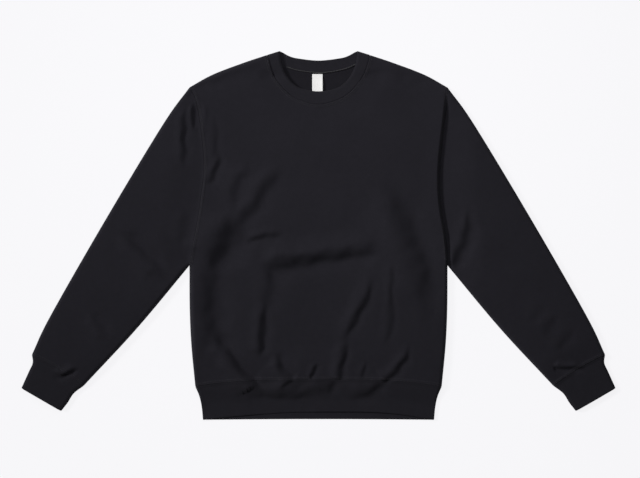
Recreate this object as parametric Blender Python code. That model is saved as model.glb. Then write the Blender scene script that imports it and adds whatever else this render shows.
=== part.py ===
"""Crewneck sweatshirt laid flat, front up.

It is built from the pieces it is sewn from: front, back, two sleeves, collar, two cuffs, hem band and a
blank neck label, each a closed wall of cloth. X runs across the garment (the wearer's left is +X), Y
towards the neck and Z up. The origin is on the surface it lies on, under the middle of its outline.
"""

import math
from collections import namedtuple

import bmesh
import bpy
from mathutils import Vector

# Cloth, in metres
FLEECE = 0.002
RIB = 0.003
LABEL = 0.001
SEAM_GAP = 0.0003
CORNER_SPREAD = 4.0  # how much wider the gap is where a seam turns a corner, for each radian

# How the cloth lies: the folded sides, where front turns into back, and the width of that turn
SIDE_HEIGHT = 0.005
BACK_TURN = 0.010

# Top of the cloth above the surface, away from the sides
BODY_CROWN = 0.024
SLEEVE_CROWN = 0.021
ARMHOLE_CROWN = 0.011
NECK_CROWN = 0.017
COLLAR_CROWN = 0.018
HEM_CROWN = 0.014
CUFF_CROWN = 0.015

# Width over which the front rises from the sides to its crown
BODY_ROLL = 0.060
CUFF_ROLL = 0.034
HEM_ROLL = 0.050

# Width over which the crown falls to the seams
ARMHOLE_SLOPE = 0.040
NECK_SLOPE = 0.045
HEM_SLOPE = 0.055
CUFF_SLOPE = 0.050

# Outline of the wearer's left half, each a row of (x, y)
COLLAR_TIP = (0.0732, 0.3507)
NECK_POINT = (0.0979, 0.3430)
SHOULDER_POINT = (0.2451, 0.2815)
UNDERARM = (0.2451, -0.0570)
HEM_SEAM_SIDE = (0.2340, -0.2872)
HEM_CORNER = (0.2195, -0.3505)
CUFF_SEAM_OUTER = (0.5445, -0.2263)
CUFF_SEAM_INNER = (0.4460, -0.2855)
CUFF_END_OUTER = (0.5645, -0.2900)
CUFF_END_INNER = (0.4890, -0.3336)

SHOULDER_LINE = (NECK_POINT, (0.1400, 0.3290), (0.2005, 0.3060), SHOULDER_POINT)
BODY_SIDE = (UNDERARM, (0.2446, -0.1400), (0.2415, -0.2080), HEM_SEAM_SIDE)
HEM_SIDE = (HEM_SEAM_SIDE, (0.2265, -0.3050), (0.2220, -0.3250), HEM_CORNER)
SLEEVE_OUTER = (SHOULDER_POINT, (0.2950, 0.2119), (0.4050, 0.0295), (0.5095, -0.1530), CUFF_SEAM_OUTER)
SLEEVE_INNER = (UNDERARM, (0.3449, -0.1765), CUFF_SEAM_INNER)
CUFF_OUTER = (CUFF_SEAM_OUTER, (0.5430, -0.2420), (0.5500, -0.2580), CUFF_END_OUTER)
CUFF_INNER = (CUFF_SEAM_INNER, (0.4650, -0.3000), (0.4765, -0.3177), CUFF_END_INNER)

# The armhole seam is drawn further in on the wearer's right
ARMHOLE = {
    "left": (SHOULDER_POINT, (0.2423, 0.2320), (0.2321, 0.1370), (0.2321, 0.0740), (0.2404, 0.0105), UNDERARM),
    "right": (SHOULDER_POINT, (0.2309, 0.2480), (0.2176, 0.1435), (0.2242, 0.0675), (0.2347, 0.0010), UNDERARM),
}
CUFF_SEAM_BOW = 0.004

# Neck, from its middle to the wearer's left
FRONT_NECK_SEAM = ((0.0, 0.2490), (0.0400, 0.2590), (0.0650, 0.2775), (0.0860, 0.3060), NECK_POINT)
FRONT_COLLAR_EDGE = ((0.0, 0.2738), (0.0352, 0.2806), (0.0566, 0.2996), (0.0685, 0.3240), COLLAR_TIP)
BACK_NECK_SEAM = ((0.0, 0.3090), (0.0409, 0.3138), (0.0699, 0.3249), NECK_POINT)
BACK_COLLAR_EDGE = ((0.0, 0.3320), (0.0350, 0.3355), (0.0540, 0.3400), COLLAR_TIP)

# Front hem seam, from its middle to the wearer's left, and front hem edge, from the wearer's right to left
FRONT_HEM_SEAM = ((0.0, -0.2738), (0.0950, -0.2745), (0.1600, -0.2777), (0.2050, -0.2825), HEM_SEAM_SIDE)
FRONT_HEM_EDGE = (
    (-0.2195, -0.3505),
    (-0.1620, -0.3470),
    (-0.0600, -0.3392),
    (0.0540, -0.3362),
    (0.1300, -0.3395),
    (0.1850, -0.3468),
    HEM_CORNER,
)
BACK_HEM_EDGE_BOW = 0.0030

LABEL_WIDTH = 0.0215
LABEL_LENGTH = 0.0360
LABEL_X = -0.0018
LABEL_TOP = 0.3080

# The largest folds: troughs that run from (x0, y0) to (x1, y1)
Fold = namedtuple("Fold", "x0 y0 x1 y1 width depth")
FOLDS = (
    Fold(-0.070, 0.135, -0.190, -0.015, 0.020, 0.0040),
    Fold(-0.098, -0.050, 0.096, -0.026, 0.017, 0.0050),
    Fold(-0.095, -0.070, -0.108, -0.225, 0.018, 0.0040),
    Fold(0.106, -0.070, 0.045, -0.255, 0.018, 0.0040),
    Fold(0.142, -0.045, 0.126, -0.220, 0.020, 0.0025),
    Fold(0.108, 0.130, 0.220, -0.090, 0.026, 0.0040),
    Fold(-0.190, -0.190, -0.130, -0.270, 0.018, 0.0030),
    Fold(0.174, -0.215, 0.131, -0.268, 0.018, 0.0030),
    Fold(-0.366, -0.005, -0.294, -0.070, 0.022, 0.0030),
    Fold(0.430, -0.120, 0.395, -0.185, 0.020, 0.0025),
    Fold(-0.505, -0.262, -0.460, -0.254, 0.014, 0.0020),
)

# Facets, and how far they crowd towards both ends of a row
NECK_FACETS = 12
SHOULDER_FACETS = 6
ARMHOLE_FACETS = 12
SIDE_FACETS = 10
SLEEVE_FACETS = 12
BAND_FACETS = 2
COLLAR_FACETS = 3
BODY_FACETS = NECK_FACETS + 2 * SHOULDER_FACETS
SLEEVE_CROWDING = 0.9
BODY_CROWDING = 0.7
LENGTHWISE_CROWDING = 0.5
CURVE_STEPS = 16
EDGE_STEPS = 32
FOLD_REACH = 2.5  # in fold widths
SMOOTH_ANGLE = 50  # degrees

# sRGB colours and finish of the cloth
FLEECE_COLOUR = (0.129, 0.125, 0.145)
RIB_COLOUR = (0.114, 0.110, 0.125)
LABEL_COLOUR = (0.900, 0.900, 0.890)

Spot = namedtuple("Spot", "outer normal")
SeamSpot = namedtuple("SeamSpot", "outer normal away")


def even_shares(count):
    return [i / count for i in range(count + 1)]


def crowded_shares(count, crowding):
    """Shares from 0 to 1 that lie closer together at both ends."""
    return [t - crowding * math.sin(2 * math.pi * t) / (2 * math.pi) for t in even_shares(count)]


def length_shares(curve):
    """How far along the curve each of its points is, from 0 to 1."""
    reached = [0.0]
    for a, b in zip(curve, curve[1:]):
        reached.append(reached[-1] + (b - a).length)
    return [length / reached[-1] for length in reached]


def smooth_curve(points, shares):
    """The points at these shares of a smooth curve through the given ones."""
    knots = [Vector(p) for p in points]
    knots = [2 * knots[0] - knots[1], *knots, 2 * knots[-1] - knots[-2]]
    fine = []
    for a, b, c, d in zip(knots, knots[1:], knots[2:], knots[3:]):
        for t in even_shares(CURVE_STEPS)[:-1]:
            fine.append(
                b
                + 0.5 * t * (c - a)
                + 0.5 * t**2 * (2 * a - 5 * b + 4 * c - d)
                + 0.5 * t**3 * (3 * b - a - 3 * c + d)
            )
    fine.append(knots[-2])
    reached = length_shares(fine)
    found = []
    for share in shares:
        i = max(k for k in range(len(fine) - 1) if reached[k] <= share)
        part = (share - reached[i]) / (reached[i + 1] - reached[i])
        found.append(fine[i].lerp(fine[i + 1], min(part, 1.0)))
    return found


def other_side(curve):
    return [Vector((-p[0], p[1])) for p in curve]


def across(curve):
    """A curve from the middle to the wearer's left, carried on to the wearer's right, from right to left."""
    return other_side(curve)[:0:-1] + [Vector(p) for p in curve]


def bowed(start, end, bow, shares):
    """A line from start to end that bows up in the middle."""
    line = [Vector(start).lerp(Vector(end), share) for share in shares]
    return [p + Vector((0, bow * math.sin(math.pi * share))) for p, share in zip(line, shares)]


def armhole(side):
    """The armhole seam, from shoulder to underarm."""
    seam = smooth_curve(ARMHOLE[side], crowded_shares(ARMHOLE_FACETS, SLEEVE_CROWDING))
    return seam if side == "left" else other_side(seam)


def distance_to(point, curve):
    """Shortest distance in plan from the point to the curve."""
    shortest = math.inf
    for a, b in zip(curve, curve[1:]):
        run = b - a
        share = min(1.0, max(0.0, (point - a).dot(run) / run.length_squared))
        shortest = min(shortest, (point - a - share * run).length)
    return shortest


def eased(t):
    t = min(1.0, max(0.0, t))
    return t * t * (3 - 2 * t)


def mix(a, b, share):
    return a + (b - a) * share


# The two folded edges of each half: over the shoulder and sleeve, and up the side into the sleeve
UPPER_EDGE = [
    Vector(COLLAR_TIP),
    *smooth_curve(SHOULDER_LINE, even_shares(EDGE_STEPS)),
    *smooth_curve(SLEEVE_OUTER, even_shares(EDGE_STEPS))[1:],
    *smooth_curve(CUFF_OUTER, even_shares(CURVE_STEPS))[1:],
]
LOWER_EDGE = [
    *smooth_curve(HEM_SIDE, even_shares(CURVE_STEPS))[:0:-1],
    *smooth_curve(BODY_SIDE, even_shares(EDGE_STEPS))[:0:-1],
    *smooth_curve(SLEEVE_INNER, even_shares(EDGE_STEPS)),
    *smooth_curve(CUFF_INNER, even_shares(CURVE_STEPS))[1:],
]
FOLDED_EDGES = (UPPER_EDGE, LOWER_EDGE, other_side(UPPER_EDGE), other_side(LOWER_EDGE))
NECK_SEAM = smooth_curve(across(FRONT_NECK_SEAM), even_shares(NECK_FACETS))
HEM_SEAM = smooth_curve(across(FRONT_HEM_SEAM), crowded_shares(BODY_FACETS, BODY_CROWDING))
ARMHOLE_SEAMS = {side: armhole(side) for side in ("left", "right")}


def side_distance(point):
    return min(distance_to(point, edge) for edge in FOLDED_EDGES)


def fold_depth(point):
    """How far the folds that cross this place draw the front down."""
    depth = 0.0
    for fold in FOLDS:
        start = Vector((fold.x0, fold.y0))
        run = Vector((fold.x1, fold.y1)) - start
        along = (point - start).dot(run) / run.length_squared
        aside = abs((point - start).cross(run)) / run.length
        if 0 < along < 1 and aside < FOLD_REACH * fold.width:
            depth += fold.depth * math.sin(math.pi * along) * math.exp(-((aside / fold.width) ** 2))
    return depth


def front_height(point, crown, roll):
    """Height of the front's outer face: a quarter ellipse up from the folded edge, less the folds."""
    rise = 1 - min(1.0, side_distance(point) / roll)
    return SIDE_HEIGHT + (crown - SIDE_HEIGHT - fold_depth(point)) * math.sqrt(1 - rise**2)


def back_height(point):
    """Height of the back's outer face: on the surface, with a quarter circle up to the folded edge."""
    rise = 1 - min(1.0, side_distance(point) / BACK_TURN)
    return SIDE_HEIGHT * (1 - math.sqrt(1 - rise**2))


def body_crown(point):
    """The front's full height, less near its seams."""
    crown = BODY_CROWN
    for seam in ARMHOLE_SEAMS.values():
        crown = mix(ARMHOLE_CROWN, crown, eased(distance_to(point, seam) / ARMHOLE_SLOPE))
    crown = mix(HEM_CROWN, crown, eased(distance_to(point, HEM_SEAM) / HEM_SLOPE))
    return mix(NECK_CROWN, crown, eased(distance_to(point, NECK_SEAM) / NECK_SLOPE))


def patch(first, last, start, end):
    """Fills a four-sided outline with rows of points, from its first row to its last."""
    across_shares = [(a + b) / 2 for a, b in zip(length_shares(first), length_shares(last))]
    down_shares = [(a + b) / 2 for a, b in zip(length_shares(start), length_shares(end))]
    rows = []
    for v, left, right in zip(down_shares, start, end):
        row = []
        for u, top, bottom in zip(across_shares, first, last):
            corners = first[0].lerp(first[-1], u).lerp(last[0].lerp(last[-1], u), v)
            row.append(top.lerp(bottom, v) + left.lerp(right, u) - corners)
        rows.append(row)
    return rows


def sheet_normals(rows, closed):
    """Each point's normal on the side that rows turn to, from its neighbours; closed rows run round a tube."""
    count = len(rows[0])
    normals = []
    for j, row in enumerate(rows):
        upper = rows[max(j - 1, 0)]
        lower = rows[min(j + 1, len(rows) - 1)]
        found = []
        for i in range(count):
            before = row[i - 1] if closed or i else row[i]
            after = row[(i + 1) % count] if closed or i < count - 1 else row[i]
            found.append((after - before).cross(upper[i] - lower[i]).normalized())
        normals.append(found)
    return normals


def seam_loop(front, back, beyond_front, beyond_back, crown, roll):
    """A seam that runs along the front and returns along the back, in the upright face that follows it.

    Beyond are the next rows of the piece past the seam. Each spot's normal stays in that face, so both
    pieces thicken along it, and away points in plan from the first piece to the piece past the seam.
    """
    last = len(front) - 1
    plan = [*front, *back[-2:0:-1]]
    beyond = [*beyond_front, *beyond_back[-2:0:-1]]
    points = []
    for k, p in enumerate(plan):
        height = back_height(p) if k > last else front_height(p, crown(p), roll)
        points.append(Vector((p.x, p.y, SIDE_HEIGHT if k in (0, last) else height)))
    spots = []
    for k, point in enumerate(points):
        spread = 1.0
        if k in (0, last):
            a = min(k, last - 1)
            front_run = (front[a + 1] - front[a]).normalized()
            back_run = (back[a + 1] - back[a]).normalized()
            along = front_run + back_run
            spread += CORNER_SPREAD * front_run.angle(back_run)
        elif k < last:
            along = front[k + 1] - front[k - 1]
        else:
            i = 2 * last - k
            along = back[i + 1] - back[i - 1]
        along.normalize()
        travel = points[(k + 1) % len(points)] - points[k - 1]
        level = 0 if k in (0, last) else travel.xy.dot(along)
        normal = Vector((-travel.z * along.x, -travel.z * along.y, level)).normalized()
        away = Vector((-along.y, along.x, 0)) * spread
        if away.xy.dot(beyond[k] - plan[k]) < 0:
            away.negate()
        spots.append(SeamSpot(point, normal, away))
    return spots


def cloth(name, rows, thickness, material):
    """One piece of cloth: a sheet of spots in rows, thickened inwards from its outer face."""
    spots = [spot for row in rows for spot in row]
    piece = bmesh.new()
    bmesh.ops.create_grid(piece, x_segments=len(rows[0]) - 1, y_segments=len(rows) - 1, size=1)
    number = piece.verts.layers.int.new("spot")
    for i, (vert, spot) in enumerate(zip(piece.verts, spots)):
        vert.co = spot.outer
        vert[number] = i
    bmesh.ops.remove_doubles(piece, verts=piece.verts, dist=1e-6)
    made = bmesh.ops.extrude_face_region(piece, geom=piece.faces[:])["geom"]
    for vert in made:
        if isinstance(vert, bmesh.types.BMVert):
            spot = spots[vert[number]]
            vert.co = spot.outer - thickness * spot.normal
    bmesh.ops.recalc_face_normals(piece, faces=piece.faces[:])
    mesh = bpy.data.meshes.new(name)
    piece.to_mesh(mesh)
    piece.free()
    mesh.shade_smooth()
    mesh.set_sharp_from_angle(angle=math.radians(SMOOTH_ANGLE))
    mesh.materials.append(material)
    bpy.context.scene.collection.objects.link(bpy.data.objects.new(name, mesh))


def tube(name, front, back, crowns, rolls, thickness, material):
    """A laid tube from the rows of its front and back; its two end rows are set back from their seams."""
    last = len(front) - 1
    loops = []
    for j, (front_row, back_row) in enumerate(zip(front, back)):
        other = j + 1 if j < last else j - 1
        loops.append(
            seam_loop(front_row, back_row, front[other], back[other], lambda p, j=j: crowns[j], rolls[j])
        )
    points = [[spot.outer for spot in loop] for loop in loops]
    normals = sheet_normals(points, closed=True)
    rows = []
    for j, loop in enumerate(loops):
        row = []
        for spot, point, normal in zip(loop, points[j], normals[j]):
            if j in (0, last):
                row.append(Spot(point + spot.away * SEAM_GAP / 2, spot.normal))
            else:
                row.append(Spot(point, normal if normal.dot(spot.normal) > 0 else -normal))
        rows.append([*row, row[0]])
    cloth(name, rows, thickness, material)
    return loops


def half_of(loop, face):
    """A seam loop's spots along the front, or along the back in the same order."""
    last = len(loop) // 2
    return loop[: last + 1] if face == "front" else [loop[0], *loop[:last - 1:-1]]


def panel(name, face, grid, armholes, neck, hem, material):
    """The front or the back: its edges lie on the seam loops, and on the folded edges between them."""
    up = 1 if face == "front" else -1
    if face == "front":
        points = [[Vector((*p, front_height(p, body_crown(p), BODY_ROLL))) for p in row] for row in grid]
    else:
        points = [[Vector((*p, back_height(p))) for p in row] for row in grid]
    normals = sheet_normals(points, closed=False)
    spots = []
    for point_row, normal_row in zip(points, normals):
        spots.append([Spot(p, n if n.z * up > 0 else -n) for p, n in zip(point_row, normal_row)])
    lift = Vector((0, 0, up * SEAM_GAP / 2))
    last_row = len(grid) - 1
    last_column = len(grid[0]) - 1

    def on_folded_edge(row, column, before, after):
        run = (after - before).normalized()
        place = grid[row][column].to_3d()
        outward = Vector((run.y, -run.x, 0))
        if outward.dot(place) < 0:
            outward.negate()
        spots[row][column] = Spot(place + Vector((0, 0, SIDE_HEIGHT)) + lift, outward)

    def on_seam(row, column, spot, at_end):
        outer = spot.outer - spot.away * SEAM_GAP / 2
        spots[row][column] = Spot(outer + lift if at_end else outer, spot.normal)

    shoulder = range(1, SHOULDER_FACETS)
    for column in [*shoulder, *(last_column - c for c in shoulder)]:
        on_folded_edge(0, column, grid[0][column - 1], grid[0][column + 1])
    for column in (0, last_column):
        for row in range(ARMHOLE_FACETS + 1, last_row):
            on_folded_edge(row, column, grid[row - 1][column], grid[row + 1][column])
    for side, column in (("right", 0), ("left", last_column)):
        for row, spot in enumerate(half_of(armholes[side], face)):
            on_seam(row, column, spot, row in (0, ARMHOLE_FACETS))
    for i, spot in enumerate(half_of(neck, face)):
        on_seam(0, SHOULDER_FACETS + i, spot, i in (0, NECK_FACETS))
    for column, spot in enumerate(half_of(hem, face)):
        on_seam(last_row, column, spot, column in (0, last_column))
    cloth(name, spots, FLEECE, material)


def limb(side, fleece, rib):
    """A sleeve and its cuff. It returns the seam loop at the armhole."""
    shares = crowded_shares(ARMHOLE_FACETS, SLEEVE_CROWDING)
    along = crowded_shares(SLEEVE_FACETS, LENGTHWISE_CROWDING)
    cuff_seam = bowed(CUFF_SEAM_OUTER, CUFF_SEAM_INNER, CUFF_SEAM_BOW, shares)
    cuff_end = bowed(CUFF_END_OUTER, CUFF_END_INNER, 0, shares)
    outer = smooth_curve(SLEEVE_OUTER, along)
    inner = smooth_curve(SLEEVE_INNER, along)
    cuff_outer = smooth_curve(CUFF_OUTER, even_shares(BAND_FACETS))
    cuff_inner = smooth_curve(CUFF_INNER, even_shares(BAND_FACETS))
    if side == "right":
        cuff_seam, cuff_end, outer, inner, cuff_outer, cuff_inner = (
            other_side(curve) for curve in (cuff_seam, cuff_end, outer, inner, cuff_outer, cuff_inner)
        )
    sleeve_rows = patch(ARMHOLE_SEAMS[side], cuff_seam, outer, inner)
    length = (Vector(CUFF_SEAM_INNER) - Vector(UNDERARM)).length
    crowns = []
    for share in along:
        crown = mix(ARMHOLE_CROWN, SLEEVE_CROWN, eased(share * length / ARMHOLE_SLOPE))
        crowns.append(mix(CUFF_CROWN, crown, eased((1 - share) * length / CUFF_SLOPE)))
    rolls = [mix(BODY_ROLL, CUFF_ROLL, share) for share in along]
    loops = tube(f"{side}_sleeve", sleeve_rows, sleeve_rows, crowns, rolls, FLEECE, fleece)
    cuff_rows = patch(cuff_seam, cuff_end, cuff_outer, cuff_inner)
    band = [CUFF_CROWN] * (BAND_FACETS + 1)
    tube(f"{side}_cuff", cuff_rows, cuff_rows, band, [CUFF_ROLL] * len(band), RIB, rib)
    return loops[0]


def collar(material):
    """The neckband, from its seam to its free edge. It returns the seam loop."""
    shares = even_shares(NECK_FACETS)
    side = smooth_curve((NECK_POINT, COLLAR_TIP), even_shares(COLLAR_FACETS))
    front_edge = smooth_curve(across(FRONT_COLLAR_EDGE), shares)
    back_edge = smooth_curve(across(BACK_COLLAR_EDGE), shares)
    back_seam = smooth_curve(across(BACK_NECK_SEAM), shares)
    front = patch(NECK_SEAM, front_edge, other_side(side), side)
    back = patch(back_seam, back_edge, other_side(side), side)
    crowns = [mix(NECK_CROWN, COLLAR_CROWN, share) for share in even_shares(COLLAR_FACETS)]
    return tube("collar", front, back, crowns, [BODY_ROLL] * len(crowns), RIB, material)[0]


def hem_band(material):
    """The band below the body, from its seam to its free edge. It returns the seam loop."""
    shares = crowded_shares(BODY_FACETS, BODY_CROWDING)
    side = smooth_curve(HEM_SIDE, even_shares(BAND_FACETS))
    seam_start = (-HEM_SEAM_SIDE[0], HEM_SEAM_SIDE[1])
    edge_start = (-HEM_CORNER[0], HEM_CORNER[1])
    back_seam = bowed(seam_start, HEM_SEAM_SIDE, 0, shares)
    front_edge = smooth_curve(FRONT_HEM_EDGE, shares)
    back_edge = bowed(edge_start, HEM_CORNER, BACK_HEM_EDGE_BOW, shares)
    front = patch(HEM_SEAM, front_edge, other_side(side), side)
    back = patch(back_seam, back_edge, other_side(side), side)
    band = [HEM_CROWN] * (BAND_FACETS + 1)
    rolls = [mix(BODY_ROLL, HEM_ROLL, share) for share in even_shares(BAND_FACETS)]
    return tube("hem_band", front, back, band, rolls, RIB, material)[0]


def body_grid(top, bottom):
    """Rows of points over the body, from shoulders and neckline down to the hem seam."""
    shoulder = smooth_curve(SHOULDER_LINE, even_shares(SHOULDER_FACETS))
    first = [*other_side(shoulder)[::-1], *top[1:-1], *shoulder]
    side = smooth_curve(BODY_SIDE, even_shares(SIDE_FACETS))
    start = [*ARMHOLE_SEAMS["right"], *other_side(side)[1:]]
    end = [*ARMHOLE_SEAMS["left"], *side[1:]]
    return patch(first, bottom, start, end)


def neck_label(material):
    """A blank label on the inner face of the back, just clear of it."""
    left = LABEL_X - LABEL_WIDTH / 2
    right = LABEL_X + LABEL_WIDTH / 2
    top_face = FLEECE + SEAM_GAP + LABEL
    rows = []
    for y in (LABEL_TOP, LABEL_TOP - LABEL_LENGTH):
        rows.append([Spot(Vector((x, y, top_face)), Vector((0, 0, 1))) for x in (left, right)])
    cloth("neck_label", rows, LABEL, material)


def fabric(name, srgb, roughness):
    material = bpy.data.materials.new(name)
    material.use_nodes = True
    shader = material.node_tree.nodes["Principled BSDF"]
    shader.inputs["Base Color"].default_value = (*(c**2.2 for c in srgb), 1)
    shader.inputs["Roughness"].default_value = roughness
    shader.inputs["Metallic"].default_value = 0
    return material


def main():
    for thing in list(bpy.data.objects):
        bpy.data.objects.remove(thing, do_unlink=True)
    fleece = fabric("brushed_fleece", FLEECE_COLOUR, 0.95)
    rib = fabric("rib_knit", RIB_COLOUR, 0.9)
    armholes = {side: limb(side, fleece, rib) for side in ("left", "right")}
    neck = collar(rib)
    hem = hem_band(rib)
    back_neck = [spot.outer.xy for spot in half_of(neck, "back")]
    back_hem = [spot.outer.xy for spot in half_of(hem, "back")]
    panel("front_panel", "front", body_grid(NECK_SEAM, HEM_SEAM), armholes, neck, hem, fleece)
    panel("back_panel", "back", body_grid(back_neck, back_hem), armholes, neck, hem, fleece)
    neck_label(fabric("woven_tape", LABEL_COLOUR, 0.7))


main()
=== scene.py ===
import math

import bmesh
import bpy
import numpy as np
from mathutils import Matrix, Vector, noise


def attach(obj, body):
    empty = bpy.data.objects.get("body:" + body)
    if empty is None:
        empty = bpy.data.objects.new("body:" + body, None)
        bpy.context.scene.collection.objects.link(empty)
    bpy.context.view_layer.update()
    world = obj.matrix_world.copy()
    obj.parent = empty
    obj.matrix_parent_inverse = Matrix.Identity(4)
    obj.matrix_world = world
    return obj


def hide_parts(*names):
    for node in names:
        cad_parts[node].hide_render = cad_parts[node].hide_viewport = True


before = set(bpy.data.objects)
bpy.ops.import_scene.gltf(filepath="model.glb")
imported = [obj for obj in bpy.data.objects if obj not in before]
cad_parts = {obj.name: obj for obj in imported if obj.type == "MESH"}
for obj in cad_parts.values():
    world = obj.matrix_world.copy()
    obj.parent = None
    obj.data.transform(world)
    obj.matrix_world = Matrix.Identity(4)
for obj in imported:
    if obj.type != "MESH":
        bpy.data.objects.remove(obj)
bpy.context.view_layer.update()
mm = 0.001


def eased(t):
    t = np.clip(t, 0, 1)
    return t * t * (3 - 2 * t)


def mix(a, b, share):
    return a + (b - a) * share


def unit(rows):
    return rows / np.maximum(np.linalg.norm(rows, axis=-1, keepdims=True), 1e-12)


def shares(count, start=0.0, end=0.0, reach=0.03):  # 0 to 1, closer together at the ends by start and end
    t = np.linspace(0, 1, 2001)
    density = 1 + start * np.exp(-t / reach) + end * np.exp((t - 1) / reach)
    reached = np.concatenate([[0], np.cumsum((density[1:] + density[:-1]) / 2)])
    return np.interp(np.linspace(0, 1, count + 1), reached / reached[-1], t)


def lengths(curve):
    return np.concatenate([[0], np.cumsum(np.linalg.norm(np.diff(curve, axis=0), axis=1))])


def along(curve, t):  # the points at these shares of a curve's length
    reached = lengths(curve)
    return np.column_stack([np.interp(t, reached / reached[-1], axis) for axis in curve.T])


def smooth(points, steps=24):  # a smooth curve through the points
    knots = np.array(points, float)
    knots = np.vstack([2 * knots[0] - knots[1], knots, 2 * knots[-1] - knots[-2]])
    a, b, c, d = knots[:-3], knots[1:-2], knots[2:-1], knots[3:]
    fine = []
    for t in np.arange(steps) / steps:
        bend = 2 * a - 5 * b + 4 * c - d
        fine.append(b + 0.5 * (t * (c - a) + t**2 * bend + t**3 * (3 * b - a - 3 * c + d)))
    return np.vstack([np.stack(fine, axis=1).reshape(-1, knots.shape[1]), knots[-2]])


def flipped(curve):
    return curve * (-1, 1)


def across(points):  # from the middle to the wearer's left, carried on to the other side
    half = np.array(points, float)
    return np.vstack([flipped(half)[:0:-1], half])


def nearest(points, curve):  # distance, signed distance (+ on its right) and share along the curve
    reached = lengths(curve)
    run = np.diff(curve, axis=0)
    span = np.maximum(np.sum(run**2, axis=1), 1e-18)
    found = []
    for part in np.array_split(points, len(points) * len(run) // 300000 + 1):
        offset = part[:, None] - curve[None, :-1]
        t = np.clip(np.sum(offset * run, axis=2) / span, 0, 1)
        offset -= t[..., None] * run
        row = np.arange(len(part))
        closest = np.argmin(np.sum(offset**2, axis=2), axis=1)
        offset, t = offset[row, closest], t[row, closest]
        distance = np.hypot(offset[:, 0], offset[:, 1])
        turn = np.sign(offset[:, 0] * run[closest, 1] - offset[:, 1] * run[closest, 0])
        share = (reached[closest] + t * np.sqrt(span[closest])) / reached[-1]
        found.append((distance, distance * turn, share))
    return [np.concatenate(column) for column in zip(*found)]


def setBack(curve, distance, towards, easeEnd=0.0):  # moved sideways, less over its last stretch
    run = unit(np.gradient(curve, axis=0))
    side = np.column_stack([-run[:, 1], run[:, 0]])
    middle = len(curve) // 2
    if side[middle] @ (towards[len(towards) // 2] - curve[middle]) < 0:
        side = -side
    reached = lengths(curve)
    amount = eased((reached[-1] - reached) / easeEnd) if easeEnd else np.ones(len(curve))
    return curve + side * amount[:, None] * distance


def trimmed(curve, start, end):
    length = lengths(curve)[-1]
    return along(curve, np.linspace(start / length, 1 - end / length, len(curve)))


def filled(top, bottom, left, right, u, v):  # rows of points that fill the outline these four rows make
    u, v = u[None, :, None], v[:, None, None]
    corners = mix(mix(top[0], top[-1], u), mix(bottom[0], bottom[-1], u), v)
    return mix(top, bottom, v) + mix(left[:, None], right[:, None], u) - corners


# The wearer's left half as it lies, in metres: x from the middle, y towards the neck. The right armhole
# is given as its mirror image, and the front edge of the hem band from side to side.
cut = dict(
    collarTip=(0.0732, 0.3507),
    neckPoint=(0.0979, 0.343),
    shoulderPoint=(0.2451, 0.2815),
    underarm=(0.2451, -0.057),
    hemSeamSide=(0.234, -0.2872),
    hemCorner=(0.2195, -0.3505),
    cuffSeamOuter=(0.5445, -0.2263),
    cuffSeamInner=(0.446, -0.2855),
    cuffEndOuter=(0.5645, -0.29),
    cuffEndInner=(0.489, -0.3336),
    shoulder=((0.14, 0.329), (0.2005, 0.306)),
    bodySide=((0.2446, -0.14), (0.2415, -0.208)),
    hemSide=((0.2265, -0.305), (0.222, -0.325)),
    sleeveOuter=((0.295, 0.2119), (0.405, 0.0295), (0.5095, -0.153)),
    sleeveInner=((0.3449, -0.1765),),
    cuffOuter=((0.543, -0.242), (0.55, -0.258)),
    cuffInner=((0.465, -0.3), (0.4765, -0.3177)),
    leftArmhole=((0.2423, 0.232), (0.2321, 0.137), (0.2321, 0.074), (0.2404, 0.0105)),
    rightArmhole=((0.2309, 0.248), (0.2176, 0.1435), (0.2242, 0.0675), (0.2347, 0.001)),
    frontNeck=((0.0, 0.249), (0.04, 0.259), (0.065, 0.2775), (0.086, 0.306)),
    frontCollar=((0.0, 0.275), (0.0352, 0.2815), (0.0566, 0.2996), (0.0685, 0.324)),
    backNeck=((0.0, 0.309), (0.0409, 0.3138), (0.0699, 0.3249)),
    backCollar=((0.0, 0.332), (0.035, 0.3355), (0.054, 0.34)),
    frontHem=((0.0, -0.2738), (0.095, -0.2745), (0.16, -0.2777), (0.205, -0.2825)),
    frontHemEdge=((-0.188, -0.3474), (-0.1587, -0.3442), (-0.1074, -0.34), (-0.035, -0.3362),
                  (0.069, -0.3356), (0.1264, -0.3376), (0.17, -0.3424)),
    backHemBow=0.0012,
    cuffSeamBow=0.004,
)


def between(start, middle, end):
    return smooth([cut[start], *cut[middle], cut[end]])


def bowed(start, end, bow):
    t = np.linspace(0, 1, 97)
    line = mix(np.array(start), np.array(end), t[:, None])
    return line + np.column_stack([0 * t, bow * np.sin(math.pi * t)])


shoulderLine = between("neckPoint", "shoulder", "shoulderPoint")
bodySide = between("underarm", "bodySide", "hemSeamSide")
hemSide = between("hemSeamSide", "hemSide", "hemCorner")
sleeveOuter = between("shoulderPoint", "sleeveOuter", "cuffSeamOuter")
sleeveInner = between("underarm", "sleeveInner", "cuffSeamInner")
cuffOuter = between("cuffSeamOuter", "cuffOuter", "cuffEndOuter")
cuffInner = between("cuffSeamInner", "cuffInner", "cuffEndInner")
cuffSeam = bowed(cut["cuffSeamOuter"], cut["cuffSeamInner"], cut["cuffSeamBow"])
cuffEnd = bowed(cut["cuffEndOuter"], cut["cuffEndInner"], 0)
neckSide = bowed(cut["neckPoint"], cut["collarTip"], 0)
frontNeck = smooth(across([*cut["frontNeck"], cut["neckPoint"]]))
backNeck = smooth(across([*cut["backNeck"], cut["neckPoint"]]))
frontCollarEdge = smooth(across([*cut["frontCollar"], cut["collarTip"]]))
backCollarEdge = smooth(across([*cut["backCollar"], cut["collarTip"]]))
frontHem = smooth(across([*cut["frontHem"], cut["hemSeamSide"]]))
hemRight = (-cut["hemSeamSide"][0], cut["hemSeamSide"][1])
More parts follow.
